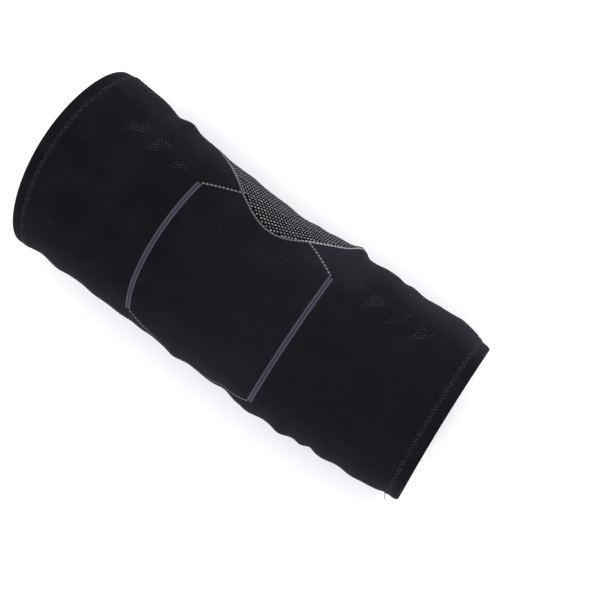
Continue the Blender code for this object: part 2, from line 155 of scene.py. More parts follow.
def on_arm(s, phi, lift=0.0):
    """Points of the cloth at (s, phi), raised by lift. Arrays in, array of points out."""
    s, phi, lift = np.broadcast_arrays(
        np.asarray(s, float), np.asarray(phi, float), np.asarray(lift, float)
    )
    radius = 2 * BEND_REACH / REST_BEND
    on_arc = np.clip(s, -BEND_REACH, BEND_REACH)
    heading = on_arc / radius
    x = radius * np.sin(heading) + (s - on_arc) * np.cos(heading)
    y = radius * (1 - np.cos(heading)) + (s - on_arc) * np.sin(heading)
    across = half_width(s)
    depth = across * DEPTH_SHARE
    angle = np.radians(phi)
    out = lift + folds(s, phi)
    to_crook = -np.sin(angle) * (across + out)
    z = depth - REST_FLAT + np.cos(angle) * (depth + out)
    rest = np.maximum(0.0, -lift)
    share = np.clip(0.5 + (z - rest) / (2 * REST_ROUND), 0, 1)
    z = rest + share * (z - rest) + share * (1 - share) * REST_ROUND
    return np.stack([x - np.sin(heading) * to_crook, y + np.cos(heading) * to_crook, z], -1)


def normals_at(s, phi):
    """Unit vectors out of the cloth."""
    step, turn = 0.4 * MM, 0.5
    along = on_arm(s + step, phi) - on_arm(s - step, phi)
    around = on_arm(s, phi + turn) - on_arm(s, phi - turn)
    out = np.cross(around, along)
    return -out / np.linalg.norm(out, axis=-1, keepdims=True)


# ---- pattern lines ---------------------------------------------------------------------------
def vent_angle(s):
    """How far the vent reaches round the arm from the crook at s."""
    k = np.clip(np.searchsorted(VENT_S, s) - 1, 0, len(VENT_S) - 2)
    first = np.maximum(np.arange(len(VENT_S)) - 1, 0)
    last = np.minimum(np.arange(len(VENT_S)) + 1, len(VENT_S) - 1)
    slope = (VENT_ANGLES[last] - VENT_ANGLES[first]) / (VENT_S[last] - VENT_S[first])
    span = VENT_S[k + 1] - VENT_S[k]
    share = (s - VENT_S[k]) / span
    eased = share**2 * (3 - 2 * share)
    rise = slope[k] * share * (1 - share) ** 2 - slope[k + 1] * share**2 * (1 - share)
    return VENT_ANGLES[k] + (VENT_ANGLES[k + 1] - VENT_ANGLES[k]) * eased + span * rise


def vent_edge(start, end, count):
    """The vent's edge on the outer side."""
    s = np.linspace(start, end, count)
    return np.stack([s, CROOK_PHI + vent_angle(s)], -1)


def line(start, end, count, rise=0.0):
    """A pattern line from start to end, bowed along the arm by rise."""
    share = np.linspace(0, 1, count)[:, None]
    points = np.array(start) + (np.array(end) - np.array(start)) * share
    points[:, 0] += rise * 4 * (share * (1 - share))[:, 0]
    return points


def mirrored(points):
    """The same line on the inner side."""
    return np.stack([points[:, 0], 180 - points[:, 1]], -1)


UPPER_JUNCTION = (UPPER_JUNCTION_S, CROOK_PHI + float(vent_angle(UPPER_JUNCTION_S)))
LOWER_JUNCTION = (LOWER_JUNCTION_S, CROOK_PHI + float(vent_angle(LOWER_JUNCTION_S)))
UPPER_STRIPE = line(UPPER_FRONT, UPPER_BACK, 110, UPPER_RISE)
LOWER_STRIPE = line(LOWER_FRONT, LOWER_BACK, 110, LOWER_RISE)


def chain(*lines):
    """Lines that share their ends, made one."""
    return np.concatenate([lines[0], *(one[1:] for one in lines[1:])])


def half_edge(vent_end, junction, front, stripe, back_line):
    """The upper or forearm sleeve's edge on the outer side, from the crook to the elbow point."""
    return chain(
        vent_edge(vent_end, junction[0], 42),
        line(junction, front, 26),
        stripe,
        back_line,
        line(BACK_CORNER, (BACK_CORNER[0], 90), 6),
    )


# ---- meshes ----------------------------------------------------------------------------------
def knit_coordinates(s, phi):
    """What the knit patterns read: distance along, distance round, and distance from the crook."""
    round_arm = np.radians(phi) * PATTERN_RADIUS
    from_crook = np.abs(turned(np.asarray(phi) - CROOK_PHI)) * math.pi / 180 * PATTERN_RADIUS
    return np.stack(np.broadcast_arrays(s, round_arm, from_crook), -1) / MM


def mesh_object(name, points, faces, knit, material, sharp=38):
    """A mesh with knit coordinates. Edges that turn by more than sharp degrees stay hard."""
    data = bpy.data.meshes.new(name)
    data.from_pydata(points.reshape(-1, 3).tolist(), [], faces)
    made = data.attributes.new("knit", "FLOAT_VECTOR", "POINT")
    made.data.foreach_set("vector", knit.reshape(-1, 3).astype(np.float32).ravel())
    data.validate()
    data.shade_smooth()
    if sharp:
        data.set_sharp_from_angle(angle=math.radians(sharp))
    piece = bpy.data.objects.new(name, data)
    bpy.context.scene.collection.objects.link(piece)
    data.materials.append(material)
    return piece


def quads(rows, columns, close_columns=False, close_rows=False):
    """The faces of a grid of points, joined up at its ends where asked."""
    faces = []
    for i in range(rows if close_rows else rows - 1):
        for j in range(columns if close_columns else columns - 1):
            i2, j2 = (i + 1) % rows, (j + 1) % columns
            faces.append((i * columns + j, i * columns + j2, i2 * columns + j2, i2 * columns + j))
    return faces


def face_outwards(piece):
    """Turns the faces of a closed piece out."""
    work = bmesh.new()
    work.from_mesh(piece.data)
    bmesh.ops.recalc_face_normals(work, faces=work.faces)
    work.to_mesh(piece.data)
    work.free()


def star_shell(name, centre, outline, rings, thickness, material, lift=lambda share: 0.0):
    """A closed cloth panel, in rings from a centre out to its outline, thickened inwards."""
    count = len(outline)
    layers = []
    for top, shares in (
        (True, np.linspace(0, 1, rings + 1)[1:]),
        (False, np.linspace(1, 0, rings // 3 + 1)[:-1]),
    ):
        share = shares[:, None]
        s = centre[0] + (outline[:, 0] - centre[0]) * share
        phi = centre[1] + (outline[:, 1] - centre[1]) * share
        height = lift(share) + np.zeros_like(s) - (0.0 if top else thickness)
        layers.append((s, phi, height))
    s, phi, height = (np.concatenate([layer[k] for layer in layers]) for k in range(3))
    points = on_arm(s, phi, height).reshape(-1, 3)
    knit = knit_coordinates(s, phi).reshape(-1, 3)
    faces = quads(len(s), count, close_columns=True)
    caps = []
    for row, top in ((0, True), (len(s) - 1, False)):
        level = float(lift(0.0)) - (0.0 if top else thickness)
        points = np.vstack([points, on_arm(centre[0], centre[1], level)])
        knit = np.vstack([knit, knit_coordinates(centre[0], centre[1])])
        caps.append((row, len(points) - 1, top))
    for row, hub, top in caps:
        for j in range(count):
            a, b = row * count + j, row * count + (j + 1) % count
            faces.append((hub, b, a) if top else (hub, a, b))
    piece = mesh_object(name, points, faces, knit, material)
    face_outwards(piece)
    return piece


HEM_WIDTH, HEM_PROUD, HEM_EASE = 10.0 * MM, 0.4 * MM, 3.0 * MM
STITCH_MIDDLE, STITCH_REACH = 6.4 * MM, 1.2 * MM
DIP_DEPTH, DIP_HALF = 0.55 * MM, 1.9 * MM


def hem_lift(from_end):
    """The doubled hem stands a little proud, and its stitching pulls the cloth in."""
    fold = HEM_PROUD * np.clip((HEM_WIDTH - from_end) / HEM_EASE, 0, 1)
    dip = np.exp(-(((from_end - STITCH_MIDDLE) / DIP_HALF) ** 2))
    return fold - DIP_DEPTH * dip


def cuff_place(end, from_end, phi):
    """s at a distance from a cuff's slanted end."""
    inwards, slant = (1, UPPER_SLANT) if end < 0 else (-1, FOREARM_SLANT)
    angle = np.radians(phi)
    return end + inwards * from_end + slant[0] * np.sin(angle) + slant[1] * np.cos(angle) ** 2


def on_cuff(end, from_end, phi, lift=0.0):
    return on_arm(cuff_place(end, from_end, phi), phi, lift)


# the hem's rows: distances from the end in mm, and then the rounded end's with their lifts
OUTER_ROWS = (10.8, 10.2, 9.6, 9.0, 8.5, 8.0, 7.5, 7.0, 6.6, 6.2, 5.8, 5.3, 4.8, 4.3, 3.7, 3.1, 2.5)
RIM_ROWS = (
    (1.9, -0.03),
    (1.3, -0.12),
    (0.8, -0.30),
    (0.4, -0.55),
    (0.1, -0.95),
    (0.0, -1.35),
    (0.15, -1.75),
    (0.6, -2.0),
    (1.6, -2.05),
    (3.0, -1.85),
)
TUBE_START, TUBE_ROWS = 11.4 * MM, 86  # the plain rows from there to the sleeve's shaped edge
INSIDE_START, INSIDE_ROWS = 5 * MM, 25


def sleeve(name, end, half, material):
    """A knitted tube with a turned-in hem, from its cuff to its shaped edge."""
    outline = np.concatenate([half, mirrored(half)[::-1][1:-1]])
    edge_s, phi = outline[:, 0], outline[:, 1]
    rows = []
    start = cuff_place(end, TUBE_START, phi)
    for share in np.linspace(0, 1, TUBE_ROWS):
        rows.append((edge_s + (start - edge_s) * share, 0.0))
    for from_end in OUTER_ROWS:
        rows.append((cuff_place(end, from_end * MM, phi), hem_lift(from_end * MM)))
    for from_end, lift in RIM_ROWS:
        rows.append((cuff_place(end, from_end * MM, phi), lift * MM + hem_lift(from_end * MM)))
    inner_start = cuff_place(end, INSIDE_START, phi)
    for share in np.linspace(0, 1, INSIDE_ROWS):
        rows.append((inner_start + (edge_s - inner_start) * share, -KNIT))
    s = np.array([row[0] for row in rows])
    lift = np.array([np.full_like(phi, row[1]) for row in rows])
    angles = np.broadcast_to(phi, s.shape)
    points = on_arm(s, angles, lift)
    faces = quads(len(s), len(phi), close_columns=True, close_rows=True)
    piece = mesh_object(name, points, faces, knit_coordinates(s, angles), material)
    face_outwards(piece)
    return piece


def path_frames(path, lift=0.0, closed=False):
    """The places of a pattern line's points, with the unit vectors sideways and out there."""
    s, phi = path[:, 0], path[:, 1]
    place = on_arm(s, phi, lift)
    out = normals_at(s, phi)
    if closed:
        tangent = np.roll(place, -1, 0) - np.roll(place, 1, 0)
    else:
        tangent = np.gradient(place, axis=0)
    tangent /= np.linalg.norm(tangent, axis=1, keepdims=True)
    side = np.cross(out, tangent)
    side /= np.linalg.norm(side, axis=1, keepdims=True)
    return place, side, out


def spaced(path, step, closed=False):
    """The pattern line resampled to even steps of length, and the length at each point."""
    if closed:
        path = np.vstack([path, path[:1]])
        if abs(path[-1, 1] - path[-2, 1]) > 180:
            path[-1, 1] += 360 * np.sign(path[-2, 1] - path[-1, 1])
    place = on_arm(path[:, 0], path[:, 1])
    length = np.concatenate([[0], np.cumsum(np.linalg.norm(np.diff(place, axis=0), axis=1))])
    count = max(4, int(round(length[-1] / step)))
    at = np.linspace(0, length[-1], count + 1)
    if closed:
        at = at[:-1]
    points = np.stack([np.interp(at, length, path[:, k]) for k in (0, 1)], -1)
    return points, at


def cut_short(path, start, end):
    """The pattern line without the first and last lengths."""
    place = on_arm(path[:, 0], path[:, 1])
    length = np.concatenate([[0], np.cumsum(np.linalg.norm(np.diff(place, axis=0), axis=1))])
    at = np.linspace(start, length[-1] - end, len(path))
    return np.stack([np.interp(at, length, path[:, k]) for k in (0, 1)], -1)


YARN_PROFILE = ((-1, -0.5), (-0.92, 0.35), (-0.6, 0.85), (0, 1.0), (0.6, 0.85), (0.92, 0.35), (1, -0.5))


def yarn_line(
    name, path, material, half, high, shift=0.0, closed=False, stitch=0.95, bead=0.0, painted_light=None
):
    """A line of raised knitted yarn, half wide each way. stitch is the length of one stitch in mm,
    and with bead the line is a row of separate knots that are thinner between. The last argument
    gives the painted light along the line: how light it is painted at each s."""
    points, at = spaced(path, 0.22 * MM, closed)
    place, side, out = path_frames(points, closed=closed)
    phase = (at / (stitch * MM)) % 1.0
    swell = np.abs(np.sin(math.pi * phase)) ** (0.7 + 0.8 * bead)
    width = 1 - (0.10 + 0.45 * bead) * (1 - swell)
    height = 1 - (0.22 + 0.70 * bead) * (1 - swell)
    place = place + side * shift
    rows = []
    for x, y in YARN_PROFILE:
        rows.append(place + side * (x * half * width)[:, None] + out * (y * high * height)[:, None])
    rows = np.stack(rows, 1)
    faces = quads(len(points), len(YARN_PROFILE), close_rows=closed, close_columns=True)
    if not closed:
        last = (len(points) - 1) * len(YARN_PROFILE)
        faces.append(tuple(range(len(YARN_PROFILE))))
        faces.append(tuple(last + k for k in reversed(range(len(YARN_PROFILE)))))
    knit = np.zeros((len(points), len(YARN_PROFILE), 3))
    knit[..., 0] = (at / MM)[:, None]
    knit[..., 1] = np.array([x for x, _ in YARN_PROFILE])[None, :]
    knit[..., 2] = (swell * (1.0 if painted_light is None else painted_light(points[:, 0])))[:, None]
    piece = mesh_object(name, rows, faces, knit, material, sharp=60)
    face_outwards(piece)
    return piece


def tube(name, points, radius, material, sides=6, closed=False):
    """A round thread through the points."""
    points = np.asarray(points, float)
    if closed:
        tangent = np.roll(points, -1, 0) - np.roll(points, 1, 0)
    else:
        tangent = np.gradient(points, axis=0)
    tangent /= np.linalg.norm(tangent, axis=1, keepdims=True)
    centre = points.mean(0)
    out = points - centre
    out -= tangent * (out * tangent).sum(1, keepdims=True)
    out /= np.linalg.norm(out, axis=1, keepdims=True)
    side = np.cross(tangent, out)
    turn = np.linspace(0, 2 * math.pi, sides, endpoint=False)
    ring = (
        points[:, None]
        + radius * np.cos(turn)[None, :, None] * out[:, None]
        + radius * np.sin(turn)[None, :, None] * side[:, None]
    )
    faces = quads(len(points), sides, close_columns=True, close_rows=closed)
    if not closed:
        last = (len(points) - 1) * sides
        faces.append(tuple(range(sides)))
        faces.append(tuple(last + k for k in reversed(range(sides))))
    knit = np.zeros((len(points), sides, 3))
    run = np.concatenate([[0], np.cumsum(np.linalg.norm(np.diff(points, axis=0), axis=1))])
    knit[..., 0] = (run / MM)[:, None]
    knit[..., 1] = turn[None, :]
    piece = mesh_object(name, ring, faces, knit, material, sharp=0)
    face_outwards(piece)
    return piece


KNOT_ALONG, KNOT_ROUND, KNOT_SKEW = 3.1 * MM, 2.4 * MM, 0.2
# share of the knot's width, of its height, and how light it is there, its dark foot partly painted shade
KNOT_RINGS = ((1.0, -0.3, 0.0), (0.96, 0.25, 0.6), (0.62, 0.8, 0.9))
KNOT_STEPS = 40  # half steps of the grid each way from the middle, which covers the vent
KNOT_MM_PER_DEGREE = 0.82  # what the knots' knit coordinate round the arm counts in


def knots(name, outline, material, clear, half, high):
    """The light knots knitted into the vent, in staggered rows that stay clear of its edge."""
    flat = np.stack([outline[:, 0], np.radians(outline[:, 1] - CROOK_PHI) * PATTERN_RADIUS], -1)
    steps = np.arange(-KNOT_STEPS, KNOT_STEPS + 1)
    i, j = np.meshgrid(steps, steps, indexing="ij")
    chosen = (i + j) % 2 == 0
    s = (i * KNOT_ALONG / 2)[chosen]
    across = (j * KNOT_ROUND / 2)[chosen] + KNOT_SKEW * s
    angle = np.degrees(across / PATTERN_RADIUS)
    inside = (s > VENT_S[0]) & (s < VENT_S[-1])
    inside &= np.abs(angle) < vent_angle(np.clip(s, VENT_S[0], VENT_S[-1]))
    gap = np.hypot(s[:, None] - flat[None, :, 0], across[:, None] - flat[None, :, 1]).min(1)
    inside &= gap > clear
    s, phi = s[inside], CROOK_PHI + angle[inside]
    place, out = on_arm(s, phi), normals_at(s, phi)
    along = on_arm(s + 0.3 * MM, phi) - on_arm(s - 0.3 * MM, phi)
    along /= np.linalg.norm(along, axis=1, keepdims=True)
    side = np.cross(out, along)
    wobble = np.sin(s / MM * 12.9 + phi * 7.3)[:, None]
    turn = np.arange(8) * math.pi / 4
    rings = []
    for share, level, _ in KNOT_RINGS:
        for angle in turn:
            reach = share * half * (1 + 0.12 * wobble)
            shift = along * math.cos(angle) * 1.1 + side * math.sin(angle) * 0.95
            rings.append(place + shift * reach + out * (level * high))
    points = np.stack([*rings, place + out * high], 1)
    size, sides = points.shape[1], len(turn)
    faces = []
    for k in range(len(s)):
        base = k * size
        faces.append(tuple(base + n for n in reversed(range(sides))))
        for ring in range(len(KNOT_RINGS) - 1):
            low, top = base + ring * sides, base + (ring + 1) * sides
            for n in range(sides):
                m = (n + 1) % sides
                faces.append((low + n, low + m, top + m, top + n))
        low = base + (len(KNOT_RINGS) - 1) * sides
        for n in range(sides):
            faces.append((low + n, low + (n + 1) % sides, base + size - 1))
    knit = np.zeros((len(s), size, 3))
    knit[..., 0] = (s / MM)[:, None]
    knit[..., 1] = (phi * KNOT_MM_PER_DEGREE)[:, None]
    knit[..., 2] = np.append(np.repeat([light for _, _, light in KNOT_RINGS], sides), 1.0)[None, :]
    return mesh_object(name, points, faces, knit, material, sharp=80)


# ---- materials -------------------------------------------------------------------------------
class Shade:
    """A material with short ways to add its nodes."""

    def __init__(self, name, roughness, specular, sheen=0.0, sheen_tint=(1, 1, 1), coat=0.0):
        self.material = bpy.data.materials.new(name)
        self.material.use_nodes = True
        self.tree = self.material.node_tree
        self.shader = self.tree.nodes["Principled BSDF"]
        self.shader.inputs["Specular IOR Level"].default_value = specular
        self.shader.inputs["Roughness"].default_value = roughness
        self.shader.inputs["Sheen Weight"].default_value = sheen
        self.shader.inputs["Sheen Roughness"].default_value = 0.45
        self.shader.inputs["Sheen Tint"].default_value = (*sheen_tint, 1)
        self.shader.inputs["Coat Weight"].default_value = coat
        made = self.node("ShaderNodeAttribute", attribute_name="knit")
        self.knit = made.outputs["Vector"]
        parts = self.node("ShaderNodeSeparateXYZ")
        self.tree.links.new(self.knit, parts.inputs[0])
        self.along, self.round, self.third = parts.outputs

    def node(self, kind, **settings):
        made = self.tree.nodes.new(kind)
        for key, value in settings.items():
            setattr(made, key, value)
        return made

    def put(self, value, socket):
        if isinstance(value, bpy.types.NodeSocket):
            self.tree.links.new(value, socket)
        else:
            socket.default_value = value

    def math(self, operation, a, b=0.0, c=0.0, clamp=False):
        made = self.node("ShaderNodeMath", operation=operation, use_clamp=clamp)
        for value, socket in zip((a, b, c), made.inputs):
            self.put(value, socket)
        return made.outputs[0]

    def wave(self, value, pitch):
        """A cosine from 0 to 1 with its top at every whole pitch."""
        turn = self.math("MULTIPLY", value, 2 * math.pi / pitch)
        return self.math("MULTIPLY_ADD", self.math("COSINE", turn), 0.5, 0.5)

    def ramp(self, value, low, high):
        """0 at low and 1 at high, smoothly."""
        made = self.node("ShaderNodeMapRange", interpolation_type="SMOOTHSTEP")
        for item, socket in zip((value, low, high, 0.0, 1.0), made.inputs):
            self.put(item, socket)
        return made.outputs[0]

    def noise(self, scale, detail=2.0):
        made = self.node("ShaderNodeTexNoise")
        self.put(self.knit, made.inputs["Vector"])
        made.inputs["Scale"].default_value = scale
        made.inputs["Detail"].default_value = detail
        made.inputs["Roughness"].default_value = 0.5
        return made.outputs["Fac"]

    def cells(self, scale):
        """A Voronoi texture over the knit: its distance and its random colour."""
        made = self.node("ShaderNodeTexVoronoi")
        self.put(self.knit, made.inputs["Vector"])
        made.inputs["Scale"].default_value = scale
        return made.outputs["Distance"], made.outputs["Color"]

    def times(self, first, *others):
        """The product of two or more values."""
        for other in others:
            first = self.math("MULTIPLY", first, other)
        return first

    def blend(self, share, first, second):
        made = self.node("ShaderNodeMix", data_type="RGBA")
        self.put(share, made.inputs[0])
        for colour, socket in ((first, made.inputs[6]), (second, made.inputs[7])):
            self.put(colour if isinstance(colour, bpy.types.NodeSocket) else (*colour, 1), socket)
        return made.outputs[2]

    def finish(self, colour, height, depth, strength, rough=None):
        """Joins the colour and the bump to the shader, and gives the material."""
        self.put(colour, self.shader.inputs["Base Color"])
        if rough is not None:
            self.put(rough, self.shader.inputs["Roughness"])
        bump = self.node("ShaderNodeBump")
        bump.inputs["Distance"].default_value = depth
        bump.inputs["Strength"].default_value = strength
        self.put(height, bump.inputs["Height"])
        self.put(bump.outputs[0], self.shader.inputs["Normal"])
        return self.material


def stitches(shade, course=1.1, wale=1.0, lean=1.25):
    """The height of a field of V-shaped knit stitches, from 0 to 1. A course is one row and a wale
    is one column, in mm."""
    cell = shade.math("FRACT", shade.math("DIVIDE", shade.round, wale))
    arm = shade.math("ABSOLUTE", shade.math("MULTIPLY_ADD", cell, 2.0, -1.0))
    turn = shade.math("MULTIPLY_ADD", arm, lean, shade.times(shade.along, 2 * math.pi / course))
    loop = shade.math("MULTIPLY_ADD", shade.math("SINE", turn), 0.5, 0.5)
    ridge = shade.math("SUBTRACT", 1.0, shade.math("POWER", arm, 3.0))
    middle = shade.ramp(arm, 0.0, 0.3)
    both = shade.times(shade.math("MULTIPLY_ADD", ridge, 0.6, 0.4), loop)
    return shade.times(both, shade.math("MULTIPLY_ADD", middle, 0.35, 0.65))


def dots(shade, along, across, first, second):
    """A staggered grid of round dots, 1 on a dot. Neighbours are that far apart each way."""
    a = shade.math("COSINE", shade.times(shade.along, math.pi / along))
    b = shade.math("COSINE", shade.times(shade.round, math.pi / across))
    return shade.ramp(shade.times(a, b), first, second)


JACQUARD_STEP = 13.7  # mm from patch to patch along the arm
JACQUARD_FOREARM_SHIFT = -8.2  # mm by which the forearm's patches are moved along
JACQUARD_ROWS = ((43.5, 5.4, 0.55, 1.0), (27.0, 5.0, -0.5, 0.35))  # from the crook, size, lean, weight


def glancing_course_highlights(shade):
    """Painted highlight where light glances over the knit's courses: 1 in the gap between two of
    them. It is painted on the forearm's crook side and, slanted, beside the vent's forearm tip."""
    near_crook, down_forearm = shade.ramp(shade.third, 40.0, 18.0), shade.ramp(shade.along, 46.0, 88.0)
    straight = shade.times(near_crook, down_forearm, shade.wave(shade.along, 1.1))
    slant = shade.wave(shade.math("MULTIPLY_ADD", shade.third, 0.8, shade.along), 1.25)
    beside = shade.times(shade.ramp(shade.along, 14.0, 30.0), shade.ramp(shade.along, 62.0, 48.0))
    beside = shade.times(beside, shade.ramp(shade.third, 52.0, 38.0))
    return shade.math("MAXIMUM", straight, shade.times(beside, slant))


def jacquard_shapes(shade, forearm):
    """Leaning patches with rough edges, one row after another out from the crook."""
    cell = shade.math("MULTIPLY_ADD", forearm, JACQUARD_FOREARM_SHIFT, shade.along)
    cell = shade.math("DIVIDE", shade.math("ADD", cell, 50 * JACQUARD_STEP - 0.5), JACQUARD_STEP)
    cell = shade.math("FRACT", shade.math("ADD", cell, 0.5))
    across = shade.times(shade.math("SUBTRACT", cell, 0.5), JACQUARD_STEP)
    rough = shade.math("MULTIPLY_ADD", shade.noise(0.30, 2.0), 7.0, -3.5)
    patches = None
    for row, size, lean, weight in JACQUARD_ROWS:
        off = shade.math("SUBTRACT", shade.third, row)
        shifted = shade.math("ABSOLUTE", shade.math("MULTIPLY_ADD", off, lean, across))
        narrow = shade.times(shade.math("ABSOLUTE", shade.math("ADD", off, shifted)), 0.75)
        edge = shade.math("ADD", shade.math("ADD", shifted, narrow), rough)
        mask = shade.times(shade.ramp(edge, size + 1.0, size - 1.6), weight)
        patches = mask if patches is None else shade.math("MAXIMUM", patches, mask)
    return patches


def faint_jacquard(shade):
    """Lighter dots in patches each side of the crook, worn away in places."""
    forearm = shade.math("GREATER_THAN", shade.along, 0.0)
    patches = jacquard_shapes(shade, forearm)
    far = shade.math("ABSOLUTE", shade.along)
    zone = shade.times(shade.ramp(far, 45.0, 48.0), shade.ramp(far, 98.0, 95.0))
    zone = shade.times(zone, shade.ramp(shade.along, -92.0, -89.0))
    clear = shade.times(forearm, shade.ramp(shade.along, 56.0, 53.0))
    zone = shade.times(zone, shade.math("SUBTRACT", 1.0, clear))
    patchy = shade.ramp(shade.noise(0.10, 2.0), 0.36, 0.56)
    in_places = shade.ramp(shade.noise(0.9, 1.0), 0.30, 0.58)
    return shade.times(patches, zone, patchy, dots(shade, 1.25, 1.0, 0.30, 0.80), in_places)


def stray_fibres(shade):
    """Here and there a short light fibre."""
    distance, chance = shade.cells(0.17)
    return shade.times(shade.ramp(distance, 0.075, 0.04), shade.math("GREATER_THAN", chance, 0.80))


def black_knit():
    """The sleeve's cloth. Places are in mm: along the arm, and third from the crook's middle."""
    shade = Shade("black_knit", 0.9, 0.052, sheen=0.015, sheen_tint=(0.75, 0.78, 1.0))
    loops = stitches(shade)
    slow = shade.noise(0.06, 2.0)
    fine = shade.noise(1.6, 2.0)
    colour = shade.blend(loops, (0.0025, 0.0023, 0.0036), (0.0043, 0.0040, 0.0060))
    colour = shade.blend(shade.ramp(slow, 0.35, 0.7), colour, (0.0049, 0.0045, 0.0064))
    # the cloth is a little lighter from the elbow down the forearm, and most at the elbow
    lighter = shade.times(shade.ramp(shade.along, -50.0, 20.0), 0.30)
    lighter = shade.math("MULTIPLY_ADD", shade.ramp(shade.along, 30.0, 52.0), -0.17, lighter)
    colour = shade.blend(lighter, colour, (0.0095, 0.0088, 0.0120))
    # painted highlight: lighter lines along the courses where light glances over them
    colour = shade.blend(shade.times(glancing_course_highlights(shade), 0.66), colour, (0.0165, 0.0155, 0.0205))
    jacquard = faint_jacquard(shade)
    colour = shade.blend(jacquard, colour, (0.031, 0.030, 0.037))
    colour = shade.blend(stray_fibres(shade), colour, (0.032, 0.031, 0.038))
    height = shade.math("MULTIPLY_ADD", fine, 0.35, loops)
    height = shade.math("MULTIPLY_ADD", jacquard, 0.8, height)
    return shade.finish(colour, height, 0.14 * MM, 0.55)


def vent_knit():
    """The open black knit under the vent's knots."""
    shade = Shade("vent_knit", 0.95, 0.02)
    loops = stitches(shade, 1.0, 0.9)
    holes = dots(shade, KNOT_ALONG / MM / 2, KNOT_ROUND / MM / 2, 0.15, 0.7)
    colour = shade.blend(loops, (0.0008, 0.0008, 0.0010), (0.0032, 0.0031, 0.0040))
    height = shade.math("MULTIPLY_ADD", holes, 0.6, loops)
    return shade.finish(colour, height, 0.16 * MM, 0.8)


def knot_yarn():
    """The vent's knots: light grey yarn, brighter in the middle of each knot. Each knot darkens toward
    its foot, partly the black knit it sinks into and partly painted shade.
    """
    shade = Shade("knot_yarn", 0.8, 0.2)
    uneven = shade.noise(0.45, 2.0)
    fibre = shade.noise(2.6, 2.0)
    bright = shade.blend(shade.ramp(uneven, 0.32, 0.68), (0.55, 0.54, 0.59), (0.93, 0.93, 0.97))
    # painted shade: the rows along the middle of the crook, where the cloth turns edge-on, are greyer
    middle = KNOT_MM_PER_DEGREE * CROOK_PHI
    aside = shade.math("ABSOLUTE", shade.math("SUBTRACT", shade.round, middle))
    bright = shade.blend(shade.ramp(aside, 4.0, 20.0), (0.40, 0.38, 0.47), bright)
    # painted shade, partly: each knot is dark at its foot and light towards its top, broken up by fibres
    share = shade.math("MULTIPLY_ADD", fibre, 0.3, shade.ramp(shade.third, 0.05, 0.5), clamp=True)
    return shade.finish(shade.blend(share, (0.020, 0.020, 0.024), bright), fibre, 0.08 * MM, 0.6)


def yarn(name, dark, light, fray=0.5):
    """Raised yarn with fine fibres along it, and a painted highlight on top of each stitch."""
    shade = Shade(name, 0.85, 0.2, sheen=0.12)
    fibre = shade.noise(2.4, 3.0)
    # painted highlight: lighter along the crown of the yarn and where each stitch swells, darker down its
    # sides
    top = shade.math("SUBTRACT", 1.0, shade.math("ABSOLUTE", shade.round), clamp=True)
    share = shade.times(shade.math("MULTIPLY_ADD", top, 0.5, 0.5), shade.third)
    share = shade.math("MULTIPLY_ADD", shade.math("SUBTRACT", fibre, 0.5), fray, share, clamp=True)
    colour = shade.blend(share, dark, light)
    return shade.finish(colour, fibre, 0.1 * MM, 0.6)


def thread_material():
    """Twisted black sewing thread, lighter in patches along it."""
    shade = Shade("black_thread", 0.5, 0.25)
    turn = shade.math("MULTIPLY_ADD", shade.along, 2 * math.pi / 0.55, shade.round)
    twist = shade.math("MULTIPLY_ADD", shade.math("SINE", turn), 0.5, 0.5)
    in_places = shade.ramp(shade.noise(0.42, 2.0), 0.44, 0.62)
    colour = shade.blend(twist, (0.004, 0.004, 0.005), (0.010, 0.009, 0.012))
    # lighter patches along the thread, on the rises of its twist
    colour = shade.blend(shade.times(in_places, twist), colour, (0.036, 0.035, 0.041))
    return shade.finish(colour, twist, 0.08 * MM, 0.8)


def silicone():
    shade = Shade("silicone", 0.32, 0.5, coat=0.1)
    cloud = shade.noise(0.3, 3.0)
    colour = shade.blend(cloud, (0.018, 0.018, 0.021), (0.040, 0.040, 0.045))
    rough = shade.math("MULTIPLY_ADD", cloud, 0.15, 0.25)
    return shade.finish(colour, shade.noise(1.3, 2.0), 0.05 * MM, 0.4, rough)


def elastic():
    shade = Shade("elastic", 0.8, 0.25, sheen=0.1)
    rib = shade.wave(shade.round, 1.3)
    pick = shade.wave(shade.along, 0.7)
    woven = shade.times(rib, shade.math("MULTIPLY_ADD", pick, 0.5, 0.5))
    colour = shade.blend(woven, (0.005, 0.005, 0.007), (0.022, 0.022, 0.026))
    return shade.finish(colour, woven, 0.25 * MM, 0.9)


def lining():
    shade = Shade("lining", 0.85, 0.2, sheen=0.1)
    loops = stitches(shade, 0.8, 0.75)
    holes = dots(shade, 2.6, 2.6, 0.82, 0.93)
    colour = shade.blend(loops, (0.007, 0.007, 0.009), (0.022, 0.022, 0.026))
    colour = shade.blend(holes, colour, (0.002, 0.002, 0.002))
    height = shade.math("SUBTRACT", loops, shade.times(holes, 2.0))
    return shade.finish(colour, height, 0.15 * MM, 0.8)


def foam():
    shade = Shade("foam", 0.95, 0.2)
    cell = shade.ramp(shade.cells(1.4)[0], 0.0, 0.5)
    colour = shade.blend(cell, (0.015, 0.015, 0.017), (0.070, 0.070, 0.075))
    return shade.finish(colour, cell, 0.3 * MM, 0.8)


BLACK = black_knit()
VENT = vent_knit()
GREY = yarn("grey_yarn", (0.024, 0.022, 0.032), (0.044, 0.040, 0.058))
EDGING = yarn("edging_yarn", (0.018, 0.017, 0.022), (0.34, 0.33, 0.36), 0.75)
PIPING = yarn("piping_yarn", (0.006, 0.006, 0.008), (0.150, 0.146, 0.163), 0.6)
KNOTS = knot_yarn()
THREAD = thread_material()
SILICONE = silicone()
ELASTIC = elastic()
LINING = lining()
FOAM = foam()

HINGE_Z = 44 * MM
BEND_START, BEND_END = (-75 * MM, 0, HINGE_Z), (75 * MM, 0, HINGE_Z)


def bends(piece, slot, *nodes):
    """The piece bends with the elbow and stands for these CAD nodes."""
    if nodes:
        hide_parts(*nodes)
    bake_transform(piece, "upper_arm", "forearm", start=BEND_START, end=BEND_END)


def stays(piece, body, slot, *nodes):
    """The piece rides on one body and stands for these CAD nodes."""
    if nodes:
        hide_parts(*nodes)
    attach(piece, body)


